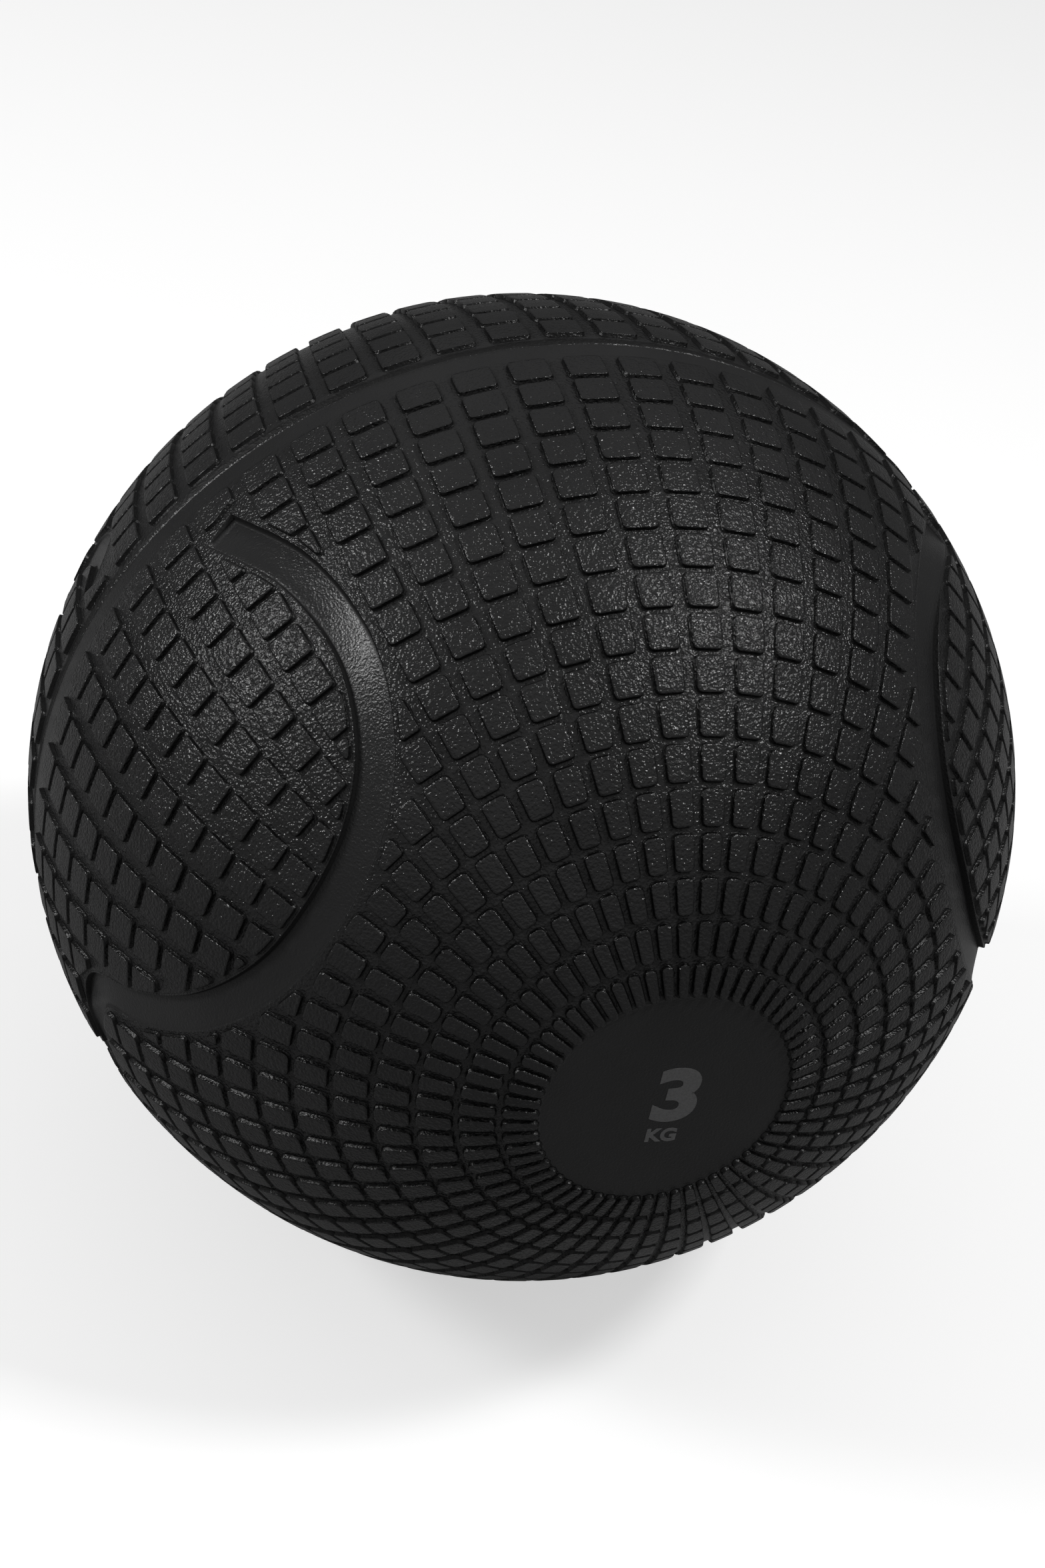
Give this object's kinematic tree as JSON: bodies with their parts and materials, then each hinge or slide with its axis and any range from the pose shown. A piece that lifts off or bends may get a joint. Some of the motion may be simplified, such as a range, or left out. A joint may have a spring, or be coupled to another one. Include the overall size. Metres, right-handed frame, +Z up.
{
  "type": "medicine ball",
  "caption": "Inflatable rubber medicine ball with a block tread, curved finger grips, a flat weight disc and a needle valve at the rear pole.",
  "frame": {"origin": "centre of the ball", "axes": "-Y out of the weight disc, +Y out of the valve, +Z up the mirror plane of the finger grips, XZ plane on the parting line between the two moulded halves"},
  "size_m": [0.23, 0.2236, 0.23],
  "materials": {
    "tread_rubber": "matte",
    "carcass_rubber": "matte",
    "nylon": "matte",
    "butyl": "satin",
    "valve_rubber": "satin",
    "mark_ink": "matte"
  },
  "bodies": {
    "root": {"front_cover": "tread_rubber", "rear_cover": "tread_rubber", "front_carcass": "carcass_rubber", "rear_carcass": "carcass_rubber", "nylon_winding": "nylon", "bladder": "butyl", "valve_seat": "valve_rubber", "valve_core": "valve_rubber"}
  },
  "joints": []
}
